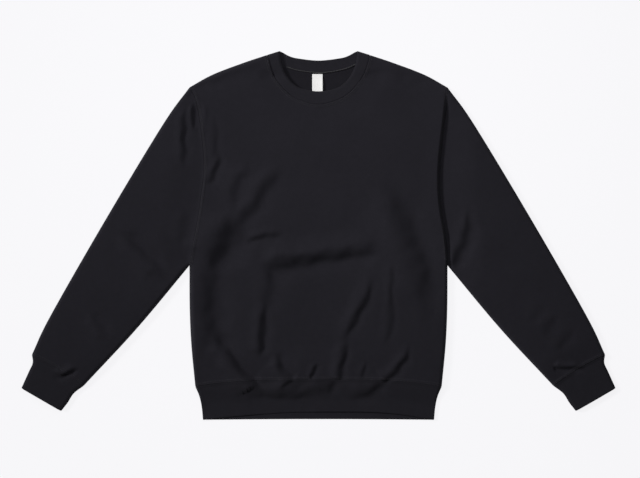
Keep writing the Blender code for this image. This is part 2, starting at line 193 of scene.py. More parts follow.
cornerRight = (-cut["hemCorner"][0], cut["hemCorner"][1])
backHem = bowed(hemRight, cut["hemSeamSide"], 0)
frontHemEdge = smooth([cornerRight, *cut["frontHemEdge"], cut["hemCorner"]])
backHemEdge = bowed(cornerRight, cut["hemCorner"], cut["backHemBow"])
armhole = dict(
    left=between("shoulderPoint", "leftArmhole", "underarm"),
    right=flipped(between("shoulderPoint", "rightArmhole", "underarm")),
)
foldedEdges = (
    np.vstack([neckSide[::-1][:-1], shoulderLine[:-1], sleeveOuter[:-1], cuffOuter]),
    np.vstack([hemSide[:0:-1], bodySide[:0:-1], sleeveInner[:-1], cuffInner]),
)


lie = dict(
    sideHeight=5 * mm,  # where front turns into back
    backTurn=10 * mm,
    bodyCrown=16.5 * mm,
    sleeveCrown=17 * mm,
    armholeCrown=dict(left=18 * mm, right=17 * mm),
    neckCrown=13.5 * mm,
    collarCrown=12.5 * mm,
    collarEdgeFall=3 * mm,  # its folded free edge rolls down
    collarEdgeWidth=5 * mm,
    hemCrown=15 * mm,
    hemEdgeCrown=7.5 * mm,
    cuffCrown=13 * mm,
    # the sides roll up tightly at first, and the rest of the way over the second, wider distance
    tightRoll=8 * mm,
    tightShare=0.8,
    bodyRoll=60 * mm,
    cuffRoll=40 * mm,
    hemRoll=60 * mm,
    creaseFade=10 * mm,
    lowest=4.6 * mm,  # the front never comes nearer to the surface than this
    lowestBlend=0.35 * mm,
    armholeSlope=40 * mm,
    # the body stands above the sleeve at their seam: the drop, and how far it reaches on either side
    armholeFold=dict(
        left=dict(drop=9.5 * mm, onBody=6.5 * mm, onSleeve=1.5 * mm, fadeIn=0.19, groove=5 * mm),
        right=dict(drop=6 * mm, onBody=5 * mm, onSleeve=5 * mm, fadeIn=0.04, groove=0),
    ),
    foldEdge=0.4,  # the share of the fold's width and of its drop that its steep edge takes
    foldEdgeDrop=0.65,
    grooveWidth=3.5 * mm,
    foldShift=3 * mm,  # how much nearer to the sleeve the fold lies at the underarm
    foldShiftStart=0.72,  # shares of the armhole's length
    foldShiftLength=0.2,
    sleeveHeadSlope=70 * mm,
    neckSlope=60 * mm,
    hemSlope=55 * mm,
    hemFall=42 * mm,
    cuffSlope=50 * mm,
    bandStep=1.6 * mm,  # rib starts lower than the fleece it is sewn to
    bandStepWidth=4 * mm,
    collarDepth=25 * mm,
    # the seam allowance under the cloth beside a seam, and on the back
    seamRidge=dict(height=0.8 * mm, rise=1.5 * mm, reach=7 * mm, fall=2.5 * mm),
    seamRidgeFade=8 * mm,
    neckRidgeShare=0.5,
    backRidge=dict(height=0.8 * mm, reach=9 * mm, fall=4 * mm),
    backFade=30 * mm,
)

# Creases in millimetres: the cloth drops to the right of each path. Ridge and trough are half widths,
# ends are the shares of its length over which it fades, taper is its drop at start and end, and lift
# raises its ridge. A crease has what plainCrease says where its own row says nothing.
plainCrease = dict(ends=(0.3, 0.3), taper=(1, 1), lift=0)
creases = [
    # chest, wearer's right
    dict(path=((-192, -262), (-201, -190), (-205, -125), (-203, -80), (-195, -40), (-187, -8)),
         drop=13.5, ridge=28, trough=18, ends=(0.3, 0.35)),
    dict(path=((-204, -74), (-194, -42), (-182, -12), (-159, 16), (-140, 41)),
         drop=22, ridge=27, trough=24, ends=(0.35, 0.35)),
    dict(path=((-158, 11), (-143, 33), (-124, 55), (-112, 72), (-104, 87), (-91, 103), (-60, 134)),
         drop=6.8, ridge=12, trough=12, ends=(0.25, 0.3), taper=(1.15, 0.8), lift=2.5),
    dict(path=((-148, 36), (-160, 60), (-158, 84), (-150, 104), (-138, 122), (-133, 150)),
         drop=3.2, ridge=12, trough=9, ends=(0.2, 0.35), lift=2),
    dict(path=((-211, 92), (-203, 106), (-197, 122), (-190, 138), (-189, 162)),
         drop=6, ridge=7, trough=6, ends=(0.2, 0.35)),
    dict(path=((-196, 128), (-197, 180), (-199, 236)), drop=3.2, ridge=8, trough=6, ends=(0.2, 0.35)),
    dict(path=((-150, -15), (-128, -9), (-107, -3), (-60, 4)), drop=7, ridge=7, trough=5.5, lift=1),
    # belly
    dict(path=((-116, -48), (-84, -54), (-62, -52.5), (-21, -47), (6, -42), (41, -37), (82, -32),
               (128, -27)),
         drop=12.4, ridge=16, trough=13, ends=(0.14, 0.2), taper=(1.25, 0.8), lift=6),
    dict(path=((-112, -232), (-107, -196), (-106, -150), (-98, -116)),
         drop=8.5, ridge=9, trough=8, ends=(0.16, 0.4)),
    dict(path=((-107, -150), (-98, -118), (-92, -92), (-90, -70), (-86, -56)),
         drop=4.9, ridge=13, trough=14, ends=(0.3, 0.2)),
    dict(path=((40, -276), (43, -256), (50, -222), (54, -190)),
         drop=5.8, ridge=9, trough=6, ends=(0.06, 0.4), lift=1),
    dict(path=((48, -212), (56, -184), (72, -154), (92, -117), (110, -64)),
         drop=5.4, ridge=10, trough=6.5, ends=(0.3, 0.4), lift=3),
    dict(path=((120, -222), (127, -198), (136, -170), (137, -130), (138, -100), (142, -50)),
         drop=3.5, ridge=7, trough=5, ends=(0.3, 0.12)),
    # chest, wearer's left
    dict(path=((208, -190), (204, -130), (200, -85), (194, -54), (183, -26), (172, 2), (162, 30), (147, 58),
               (136, 80), (112, 120)),
         drop=13.5, ridge=28, trough=19, ends=(0.35, 0.3), taper=(0.75, 1.35)),
    # above the hem
    dict(path=((-115, -298), (-117, -285), (-130, -274), (-144, -259), (-155, -244), (-167, -229),
               (-179, -214), (-190, -198), (-204, -182)),
         drop=15, ridge=13, trough=10, ends=(0.2, 0.25)),
    dict(path=((-104, -318), (-109, -304), (-114, -290), (-122, -274)),
         drop=4, ridge=13, trough=11, ends=(0.45, 0.4)),
    dict(path=((-46, -278), (-54, -269), (-67, -252), (-75, -237), (-84, -224)),
         drop=10.5, ridge=12, trough=8, ends=(0.15, 0.25), taper=(0.8, 1.2)),
    dict(path=((-18, -274), (-8, -256), (0, -238)), drop=4.2, ridge=5, trough=4, ends=(0.15, 0.3)),
    dict(path=((116, -281), (126, -272), (145, -260), (158, -245), (168, -224), (177, -200)),
         drop=6, ridge=8, trough=5, ends=(0.12, 0.35), lift=1),
    dict(path=((78, -276), (84, -258), (94, -236)), drop=3, ridge=5, trough=4),
    # hem band
    dict(path=((-156, -291), (-128, -297), (-105, -304), (-80, -309), (-55, -310), (-28, -306), (-6, -300),
               (16, -294)),
         drop=11, ridge=12, trough=14, ends=(0.35, 0.3), taper=(1, 0.5)),
    dict(path=((23, -302), (26, -288), (29, -276)), drop=2.6, ridge=8, trough=7),
    dict(path=((46, -307), (71, -306), (94, -299), (111, -290), (130, -280)),
         drop=4, ridge=10, trough=9, ends=(0.35, 0.2)),
    # sleeves
    dict(path=((-282, -76), (-330, -38), (-380, 12)), drop=10, ridge=12, trough=10),
    dict(path=((-264, -24), (-257, 10), (-252, 56)), drop=3.4, ridge=12, trough=10),
    dict(path=((-397, -196), (-438, -144)), drop=4, ridge=9, trough=8),
    dict(path=((-512, -256), (-490, -264), (-471, -257), (-450, -248)), drop=8, ridge=5.5, trough=4),
    dict(path=((-250, 120), (-257, 184), (-250, 252)), drop=6, ridge=8, trough=6, taper=(0.8, 1.3)),
    dict(path=((-240, 196), (-238, 222), (-236, 254)), drop=5.5, ridge=5, trough=4),
    dict(path=((-222, 262), (-223, 225), (-224, 175)), drop=4, ridge=6, trough=6),
    dict(path=((254, -62), (262, -32), (276, -4), (285, 62)), drop=8.5, ridge=9, trough=12, ends=(0.12, 0.4)),
    dict(path=((446, -247), (462, -251), (480, -252), (512, -252)),
         drop=8, ridge=5, trough=4, ends=(0.12, 0.45)),
    dict(path=((396, -166), (410, -146), (430, -124)), drop=1.6, ridge=11, trough=9),
    dict(path=((424, -190), (436, -168), (454, -146)), drop=2.2, ridge=10, trough=9),
    dict(path=((446, -222), (462, -196), (486, -176)), drop=2.4, ridge=10, trough=9),
    # shoulder, wearer's right
    dict(path=((-212, 287), (-191, 297), (-168, 306), (-134, 316), (-104, 322)),
         drop=3, ridge=7, trough=9, ends=(0.15, 0.25)),
]

# Soft mounds and dents in millimetres: x, y, half widths and height
mounds = (
    # hem band just under its seam: it bulges between the creases that run into it
    (-72, -288, 22, 13, 4.8),
    (-4, -285, 16, 12, 4.5),
    (73, -287, 20, 11, 3.6),
    (-38, -286, 10, 9, -1.5),
    (26, -288, 12, 10, -2.5),
    (120, -290, 16, 9, -2.0),
    # front
    (-38, -252, 34, 28, 4.5),
    (-25, -42, 62, 28, 2.5),
    (-200, -150, 42, 130, -5.0),
    (118, -85, 48, 80, 3.5),
    # shoulders
    (-88, 303, 20, 12, -4.5),
    (-222, 286, 26, 9, -3.0),
    (108, 303, 24, 12, -5.0),
    (160, 300, 20, 12, -3.0),
    (188, 290, 16, 8, -2.5),
    (166, 272, 46, 50, -3.0),
)

ripple = dict(
    large=60 * mm,
    largeHeight=0.6 * mm,
    small=20 * mm,
    smallHeight=0.15 * mm,
    wander=26 * mm,  # how the creases stray from smooth lines
    wanderReach=5 * mm,
    wanderSeeds=(9.1, 17.3),
    largeSeed=0.3,
    smallSeed=4.7,
)

# Tucks under the back, which only lift off the surface it lies on: path, height and half width in millimetres
tucks = (
    (((-150, -230), (-120, -120), (-60, -10)), 3.0, 10),
    (((30, -240), (60, -150), (130, -60)), 2.6, 9),
    (((-110, 60), (0, 40), (110, 70)), 3.2, 12),
    (((160, 150), (110, 60), (90, -40)), 2.2, 9),
    (((-170, 190), (-120, 120), (-90, 40)), 2.0, 10),
    (((-420, -150), (-380, -80), (-330, -20)), 2.0, 8),
    (((330, -30), (380, -90), (410, -170)), 2.0, 8),
    (((300, 90), (340, 20), (350, -60)), 1.8, 9),
    (((-300, 100), (-320, 20), (-300, -50)), 1.8, 9),
)


def sideDistance(points):
    half = np.column_stack([np.abs(points[:, 0]), points[:, 1]])
    return np.minimum(nearest(half, foldedEdges[0])[0], nearest(half, foldedEdges[1])[0])


def rippled(points, size, seed):
    return np.array([noise.noise(Vector((x / size, y / size, seed))) for x, y in points])


def relief(points):  # creases, mounds and ripples of the front
    height = np.zeros(len(points))
    wander = np.column_stack([rippled(points, ripple["wander"], seed) for seed in ripple["wanderSeeds"]])
    place = points + wander * ripple["wanderReach"]
    for row in creases:
        crease = {**plainCrease, **row}
        path = smooth(crease["path"], 8) * mm
        ridge, trough = crease["ridge"] * mm, crease["trough"] * mm
        reach = 4 * max(ridge, trough)
        low, high = path.min(axis=0) - reach, path.max(axis=0) + reach
        near = np.all((place > low) & (place < high), axis=1)
        if not near.any():
            continue
        _, s, share = nearest(place[near], path)
        slope = crease["drop"] * mm / (math.exp(-0.5) * (ridge + trough))
        start, end = crease["ends"]
        fade = eased(share / start) * eased((1 - share) / end)
        width = np.where(s < 0, ridge, trough) * mix(0.5, 1, fade)  # half as wide where it dies out
        fade = fade * mix(*crease["taper"], share)
        height[near] -= fade * slope * s * np.exp(-(s**2) / (2 * width**2))
        height[near] += fade * crease["lift"] * mm * np.exp(-((s + ridge) ** 2) / (1.6 * ridge**2))
    for x, y, wide, deep, rise in mounds:
        offset = (place - np.array((x, y)) * mm) / (np.array((wide, deep)) * mm)
        height += rise * mm * np.exp(-np.sum(offset**2, axis=1))
    height += ripple["largeHeight"] * rippled(points, ripple["large"], ripple["largeSeed"])
    height += ripple["smallHeight"] * rippled(points, ripple["small"], ripple["smallSeed"])
    return height


def seamRidge(distance):
    ridge = lie["seamRidge"]
    rise = eased(distance / ridge["rise"])
    fall = eased((ridge["reach"] - distance) / ridge["fall"])
    return ridge["height"] * rise * fall


def bandStep(distance):
    return lie["bandStep"] * eased(distance / lie["bandStepWidth"])


def frontHeight(points, crown, roll):
    side = sideDistance(points)
    tight = np.sqrt(1 - (1 - np.minimum(1, side / lie["tightRoll"])) ** 2)
    wide = 1 - (1 - np.minimum(1, side / roll)) ** 2
    height = lie["sideHeight"] + (crown - lie["sideHeight"]) * mix(wide, tight, lie["tightShare"])
    height = height + relief(points) * eased(side / lie["creaseFade"])
    blend = lie["lowestBlend"]
    return lie["lowest"] + blend * np.logaddexp(0, (height - lie["lowest"]) / blend)


def backHeight(points, seams=()):
    side = sideDistance(points)
    rise = 1 - np.minimum(1, side / lie["backTurn"])
    height = lie["sideHeight"] * (1 - np.sqrt(1 - rise**2))
    lift = np.zeros(len(points))
    for path, up, width in tucks:
        distance, _, share = nearest(points, smooth(path, 8) * mm)
        lift += up * mm * np.sin(math.pi * share) * np.exp(-((distance / (width * mm)) ** 2))
    ridge = lie["backRidge"]
    for seam in seams:
        lift += ridge["height"] * eased((ridge["reach"] - nearest(points, seam)[0]) / ridge["fall"])
    return height + lift * eased(side / lie["backFade"])


def armholeFold(side, past, share):  # past is the distance beyond the seam, less than 0 on the body
    fold = lie["armholeFold"][side]
    past = past - lie["foldShift"] * eased((share - lie["foldShiftStart"]) / lie["foldShiftLength"])
    t = np.clip((past + fold["onBody"]) / (fold["onBody"] + fold["onSleeve"]), 0, 1)
    fall = mix(eased(t), eased(t / lie["foldEdge"]), lie["foldEdgeDrop"])
    groove = fold["groove"] * np.exp(-((past / lie["grooveWidth"]) ** 2))
    return (fold["drop"] * fall + groove) * eased(share / fold["fadeIn"])


def bodyFront(points):
    crown = np.full(len(points), lie["bodyCrown"])
    bands = np.zeros(len(points))
    for side, seam in armhole.items():
        distance, _, share = nearest(points, seam)
        crown = mix(lie["armholeCrown"][side], crown, eased(distance / lie["armholeSlope"]))
        crown = crown - armholeFold(side, -distance, share)
        bands = np.maximum(bands, seamRidge(distance) * (side == "right"))  # the fold hides the left one
    for seam, height, slope in ((frontHem, "hemCrown", "hemSlope"), (frontNeck, "neckCrown", "neckSlope")):
        distance = nearest(points, seam)[0]
        crown = mix(lie[height], crown, eased(distance / lie[slope]))
        bands = np.maximum(bands, seamRidge(distance) * (lie["neckRidgeShare"] if seam is frontNeck else 1))
    fade = eased(sideDistance(points) / lie["seamRidgeFade"])
    return frontHeight(points, crown, lie["bodyRoll"]) + bands * fade


def bodyBack(points):
    return backHeight(points, (armhole["left"], armhole["right"], backNeck, backHem))


def cuffSeamAt(points):  # the one on the side where the points are
    return cuffSeam if points[:, 0].mean() > 0 else flipped(cuffSeam)


def sleeveFront(points):
    side = "left" if points[:, 0].mean() > 0 else "right"
    fromBody, _, share = nearest(points, armhole[side])
    fromCuff = nearest(points, cuffSeamAt(points))[0]
    head = lie["armholeCrown"][side] - armholeFold(side, fromBody, share)
    crown = mix(head, lie["sleeveCrown"], eased(fromBody / lie["sleeveHeadSlope"]))
    crown = mix(lie["cuffCrown"], crown, eased(fromCuff / lie["cuffSlope"]))
    roll = mix(lie["bodyRoll"], lie["cuffRoll"], fromBody / (fromBody + fromCuff))
    bands = seamRidge(fromCuff) * eased(sideDistance(points) / lie["seamRidgeFade"])
    return frontHeight(points, crown, roll) + bands


def sleeveBack(points):
    return backHeight(points, (cuffSeamAt(points),))


def cuffFront(points):
    crown = lie["cuffCrown"] - bandStep(nearest(points, cuffSeamAt(points))[0])
    return frontHeight(points, crown, lie["cuffRoll"])


def hemFront(points):
    distance = nearest(points, frontHem)[0]
    crown = mix(lie["hemCrown"], lie["hemEdgeCrown"], eased(distance / lie["hemFall"])) - bandStep(distance)
    return frontHeight(points, crown, lie["hemRoll"])


def collarFront(points):
    share = eased(nearest(points, frontNeck)[0] / lie["collarDepth"])
    edge = 1 - eased(nearest(points, frontCollarEdge)[0] / lie["collarEdgeWidth"])
    crown = mix(lie["neckCrown"], lie["collarCrown"], share) - lie["collarEdgeFall"] * edge
    return frontHeight(points, crown, lie["bodyRoll"])


cloth = dict(
    fleeceHalf=1.0 * mm,
    ribHalf=1.5 * mm,
    seamSetBack=0.82,  # of the half thickness: the rounded edges of two pieces meet in a shallow ditch
    ribDepth=0.5 * mm,
    ribPitch=2.05 * mm,
)


def heights(plan, shape):
    flat = plan.reshape(-1, 2)
    return np.concatenate([flat, shape(flat)[:, None]], axis=1).reshape(*plan.shape[:2], 3)


def sheetNormals(points, closed):
    down = np.gradient(points, axis=0)
    if closed:
        ring = points[:, :-1]
        step = np.roll(ring, -1, axis=1) - np.roll(ring, 1, axis=1)
        step = np.concatenate([step, step[:, :1]], axis=1)
    else:
        step = np.gradient(points, axis=1)
    return unit(np.cross(step, down))


def facing(points, closed, column, up=1):  # normals, turned so that the middle of a column looks up or down
    normal = sheetNormals(points, closed)
    return -normal if normal[len(points) // 2, column, 2] * up < 0 else normal


def ringStep(row, closed):
    if not closed:
        return unit(np.gradient(row, axis=0))
    step = np.roll(row[:-1], -1, axis=0) - np.roll(row[:-1], 1, axis=0)
    return unit(np.concatenate([step, step[:1]]))


def rimmed(points, normal, closed):
    # turns edge normals square to the edge, and finds which way is out of the sheet
    away = np.zeros_like(points)
    borders = [((0, slice(None)), (1, slice(None))), ((-1, slice(None)), (-2, slice(None)))]
    if not closed:
        borders += [((slice(None), 0), (slice(None), 1)), ((slice(None), -1), (slice(None), -2))]
    for edge, inner in borders:
        run = ringStep(points[edge], closed)
        square = unit(normal[edge] - np.sum(normal[edge] * run, axis=1, keepdims=True) * run)
        out = np.cross(run, square)
        sign = np.sign(np.sum(out * (points[edge] - points[inner]), axis=1, keepdims=True))
        normal[edge] = square
        away[edge] += out * sign
    return normal, unit(away) * (np.linalg.norm(away, axis=-1, keepdims=True) > 0.1)


def meshFrom(made, name):
    mesh = bpy.data.meshes.new(name)
    made.to_mesh(mesh)
    made.free()
    return mesh


def linked(name, data):
    thing = bpy.data.objects.new(name, data)
    bpy.context.scene.collection.objects.link(thing)
    return thing


def sewnPiece(name, outer, normal, away, half, nominal, uv, closed, looks):
    # outer is the cloth's outer face; the sheet is thickened round its middle, and its edges are rounded
    rows, columns = outer.shape[:2]
    middle = (outer - nominal * normal).reshape(-1, 3)
    normal = normal.reshape(-1, 3)
    away = away.reshape(-1, 3)
    half = np.broadcast_to(half, (rows, columns)).reshape(-1)
    top = middle + half[:, None] * normal
    low = middle - half[:, None] * normal
    made = bmesh.new()
    bmesh.ops.create_grid(made, x_segments=columns - 1, y_segments=rows - 1, size=1)
    spot = made.verts.layers.int.new("spot")
    clothUV = made.loops.layers.uv.new("clothUV")
    for i, vert in enumerate(made.verts):
        vert.co = top[i]
        vert[spot] = i
    flatUV = uv.reshape(-1, 2)
    for face in made.faces:
        for loop in face.loops:
            loop[clothUV].uv = flatUV[loop.vert[spot]]
    if closed:
        bmesh.ops.remove_doubles(made, verts=made.verts, dist=1e-6)
    grown = bmesh.ops.extrude_face_region(made, geom=made.faces[:])["geom"]
    inside = {part for part in grown if isinstance(part, bmesh.types.BMVert)}
    for vert in inside:
        vert.co = low[vert[spot]]
    for face in made.faces:
        face.material_index = int(all(vert in inside for vert in face.verts))
    wall = [edge for edge in made.edges if (edge.verts[0] in inside) != (edge.verts[1] in inside)]
    rounded = bmesh.ops.subdivide_edges(made, edges=wall, cuts=3)["geom_inner"]
    for vert in rounded:
        if isinstance(vert, bmesh.types.BMVert):
            i = vert[spot]
            depth = (top[i] - np.array(vert.co)) @ normal[i] / (2 * half[i])
            turn = math.pi * round(4 * depth) / 4
            vert.co = middle[i] + half[i] * (math.cos(turn) * normal[i] + math.sin(turn) * away[i])
    bmesh.ops.recalc_face_normals(made, faces=made.faces[:])
    mesh = meshFrom(made, name)
    mesh.shade_smooth()
    for look in looks:
        mesh.materials.append(look)
    piece = linked(name, mesh)
    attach(piece, "root")
    print(name, len(mesh.polygons), "faces")
    return piece


def laidTube(name, front, back, frontShape, backShape, half, ribs, uv, looks):
    last = front.shape[1] - 1
    frontPoints = heights(front, frontShape)
    backPoints = heights(back, backShape)
    for points in (frontPoints, backPoints):
        points[:, 0, 2] = points[:, -1, 2] = lie["sideHeight"]
    points = np.concatenate([frontPoints, backPoints[:, -2::-1]], axis=1)
    normal, away = rimmed(points, facing(points, True, last // 2), True)
    thickness = half
    if ribs:
        turn = 2 * math.pi * ribs * np.linspace(0, 1, 2 * last + 1)
        thickness = half - cloth["ribDepth"] / 4 * (1 - np.cos(turn))[None, :]
    return sewnPiece(name, points, normal, away, thickness, half, uv, True, looks)


def bandPlan(first, last, start, end, u, v, half, freeEnd):
    back = half * cloth["seamSetBack"]
    edge = half if freeEnd else back
    top = along(setBack(first, back, last), u)
    bottom = along(setBack(last, edge, first), u)
    left = along(trimmed(start, back, edge), v)
    right = along(trimmed(end, back, edge), v)
    return filled(top, bottom, left, right, u, v)


def ribUV(ribs, columns, v, depth):  # one knit wale to each rib
    around = np.linspace(0, ribs * cloth["ribPitch"], 2 * columns + 1)
    return np.stack(np.broadcast_arrays(around[None, :], depth * v[:, None]), axis=-1)


def colour(code):  # sRGB hex to linear
    parts = [int(code[i:i + 2], 16) / 255 for i in (1, 3, 5)]
    return (*(c / 12.92 if c <= 0.04045 else ((c + 0.055) / 1.055) ** 2.4 for c in parts), 1)


def addNode(look, kind, settings=(), links=()):
    tree = look.node_tree
    node = tree.nodes.new(kind)
    for key, value in dict(settings).items():
        if isinstance(key, int) or key in node.inputs:
            node.inputs[key].default_value = value
        else:
            setattr(node, key, value)
    for key, source in dict(links).items():
        tree.links.new(source, node.inputs[key])
    return node


def maths(look, operation, *values):  # of numbers and the outputs of other nodes
    sockets = {i: value for i, value in enumerate(values) if isinstance(value, bpy.types.NodeSocket)}
    numbers = {i: value for i, value in enumerate(values) if i not in sockets}
    return addNode(look, "ShaderNodeMath", {"operation": operation, **numbers}, sockets).outputs[0]


def newLook(name):
    look = bpy.data.materials.new(name)
    look.use_nodes = True
    look.node_tree.nodes.remove(look.node_tree.nodes["Principled BSDF"])
    return look


def knitHeight(look, wale, course, slant):  # plain knit: columns of V stitches, sized in metres on the UV
    uv = addNode(look, "ShaderNodeUVMap", dict(uv_map="clothUV")).outputs[0]
    scale = dict(Scale=(1 / wale, 1 / course, 1))
    scaled = addNode(look, "ShaderNodeMapping", scale, dict(Vector=uv)).outputs[0]
    split = addNode(look, "ShaderNodeSeparateXYZ", (), dict(Vector=scaled)).outputs
    leg = maths(look, "PINGPONG", split[0], 0.5)
    lean = maths(look, "MULTIPLY_ADD", leg, slant, split[1])
    stitch = maths(look, "SINE", maths(look, "MULTIPLY", lean, 2 * math.pi))
    groove = maths(look, "COSINE", maths(look, "MULTIPLY", leg, 4 * math.pi))
    both = maths(look, "MULTIPLY_ADD", groove, -0.5, stitch)
    reach = {"From Min": -1.5, "From Max": 1.5}
    return addNode(look, "ShaderNodeMapRange", reach, {"Value": both}).outputs[0]


def spots(look, size, detail=2.0, roughness=0.5):  # noise with features of this size in metres
    place = addNode(look, "ShaderNodeTexCoord").outputs["Object"]
    settings = {"Scale": 1 / size, "Detail": detail, "Roughness": roughness}
    return addNode(look, "ShaderNodeTexNoise", settings, {"Vector": place}).outputs["Fac"]


def shaded(look, base, factors):  # a colour made lighter or darker by each (value, low, high)
    result = None
    for value, low, high in factors:
        settings = {"To Min": low, "To Max": high, "From Min": 0.25, "From Max": 0.75, "clamp": False}
        part = addNode(look, "ShaderNodeMapRange", settings, {"Value": value}).outputs[0]
        result = part if result is None else maths(look, "MULTIPLY", result, part)
    settings = {"operation": "SCALE", 0: colour(base)[:3]}
    return addNode(look, "ShaderNodeVectorMath", settings, {"Scale": result}).outputs[0]


def finishLook(look, base, height, depth, strength, surface):
    bump = addNode(look, "ShaderNodeBump", {"Distance": depth, "Strength": strength}, {"Height": height})
    links = {"Base Color": base, "Normal": bump.outputs[0]}
    shader = addNode(look, "ShaderNodeBsdfPrincipled", surface, links)
    output = look.node_tree.nodes["Material Output"]
    look.node_tree.links.new(shader.outputs[0], output.inputs["Surface"])
    return look


fleece = dict(
    face="#1b1a1f",
    wale=1.6 * mm,  # real wales are nearer 1.1 mm; drawn a little coarser so that the knit can be seen
    course=1.2 * mm,
    # the brushed side's own near-black, made darker still as painted shade for the hollow inside the garment
    inside="#17161a",
)


def fleeceFace():
    # Cotton jersey face of a brushed fleece, piece dyed black: matt and slightly hairy, with a fine knit
    look = newLook("blackCottonFleeceFace")
    knitReliefAndShade = knitHeight(look, fleece["wale"], fleece["course"], 1.3)
    fuzz = spots(look, 0.9 * mm, 3, 0.6)
    worn = spots(look, 9 * mm, 2)
    dye = spots(look, 70 * mm, 2)
    # the knit darkens the colour in its grooves and lightens it on its stitches: painted shade and painted
    # highlight
    factors = ((knitReliefAndShade, 0.90, 1.10), (fuzz, 0.86, 1.14), (worn, 0.95, 1.05), (dye, 0.95, 1.05))
    base = shaded(look, fleece["face"], factors)
    height = maths(look, "MULTIPLY_ADD", knitReliefAndShade, 0.6, fuzz)
    surface = {"Roughness": 0.92, "Specular IOR Level": 0.08, "Sheen Weight": 0.04, "Sheen Roughness": 0.55,
               "Sheen Tint": colour("#d9d8e8")}
    return finishLook(look, base, height, 0.16 * mm, 0.5, surface)


def fleeceInside():
    # The brushed side of the fleece: loops teased into a soft pile that scatters light, with no knit to see
    look = newLook("blackBrushedFleeceInside")
    pile = spots(look, 1.6 * mm, 4, 0.65)
    tufts = spots(look, 6 * mm, 3, 0.6)
    # darker than the face: the pile's own colour plus painted shade for the inside of the garment
    base = shaded(look, fleece["inside"], ((pile, 0.82, 1.18), (tufts, 0.92, 1.08)))
    surface = {"Roughness": 1.0, "Specular IOR Level": 0.05, "Sheen Weight": 0.06, "Sheen Roughness": 0.6,
               "Sheen Tint": colour("#d6d4ea")}
    return finishLook(look, base, pile, 0.5 * mm, 0.7, surface)


rib = dict(
    face="#1a191e",
    course=1.5 * mm,  # real courses are nearer 1 mm
)


def ribKnit():
    # 1x1 cotton rib with elastane: raised wales with shadow between them, a touch darker than the fleece
    look = newLook("blackCottonRibKnit")
    knitReliefAndShade = knitHeight(look, cloth["ribPitch"], rib["course"], 1.4)
    fuzz = spots(look, 0.8 * mm, 3, 0.6)
    worn = spots(look, 14 * mm, 2)
    # the knit darkens the colour between the wales and lightens it on them: painted shade and painted
    # highlight
    base = shaded(look, rib["face"], ((knitReliefAndShade, 0.88, 1.12), (fuzz, 0.88, 1.12), (worn, 0.95, 1.05)))
    height = maths(look, "MULTIPLY_ADD", knitReliefAndShade, 0.4, fuzz)
    surface = {"Roughness": 0.9, "Specular IOR Level": 0.1, "Sheen Weight": 0.04, "Sheen Roughness": 0.5,
               "Sheen Tint": colour("#dcdce4")}
    return finishLook(look, base, height, 0.14 * mm, 0.5, surface)


def wovenLabel():
    # Polyester satin label tape: white and close woven, with a soft gloss
    look = newLook("whiteSatinLabelTape")
    uv = addNode(look, "ShaderNodeUVMap", dict(uv_map="clothUV"))
    scale = dict(Scale=(1 / (0.5 * mm), 1 / (0.35 * mm), 1))  # real threads are about 0.15 mm
    threads = addNode(look, "ShaderNodeMapping", scale, dict(Vector=uv.outputs[0]))
    bricks = {"Scale": 1, "Mortar Size": 0.08, "Brick Width": 1, "Row Height": 0.5,
              "Color1": (0.95, 0.95, 0.95, 1), "Color2": (0.85, 0.85, 0.85, 1), "Mortar": (0.5, 0.5, 0.5, 1)}
    weave = addNode(look, "ShaderNodeTexBrick", bricks, {"Vector": threads.outputs[0]})
    tone = addNode(look, "ShaderNodeRGBToBW", (), {0: weave.outputs["Color"]}).outputs[0]
    base = shaded(look, "#d3d2d1", ((tone, 0.95, 0.99), (spots(look, 3 * mm), 0.99, 1.01)))
    surface = {"Roughness": 0.5, "Specular IOR Level": 0.4, "Sheen Weight": 0.05}
    return finishLook(look, base, tone, 0.05 * mm, 0.4, surface)


def sewingThread(name, base):
    # Spun polyester thread: two twisted plies that catch a little light
    look = newLook(name)
    ply = spots(look, 0.4 * mm)
    base = shaded(look, base, ((ply, 0.8, 1.3),))
    surface = {"Roughness": 0.55, "Specular IOR Level": 0.4}
    return finishLook(look, base, ply, 0.05 * mm, 0.4, surface)


faceLook, insideLook, ribLook, labelLook = fleeceFace(), fleeceInside(), ribKnit(), wovenLabel()
threadLook = sewingThread("blackPolyesterThread", "#1b1a1d")
overlockLook = sewingThread("greyOverlockThread", "#161519")
print("materials made")


body = dict(
    front=dict(shoulder=50, neck=100, armhole=108, side=82),
    back=dict(shoulder=26, neck=56, armhole=58, side=46),
    # rows and columns stand closer together at an edge: how much, and over which share of the way
    edgeDensity=3,
    topReach=0.025,
    hemReach=0.05,
    underarmEase=8 * mm,  # the stretch over which the seam gap of the armhole closes
    middle=(0, -0.02),
)


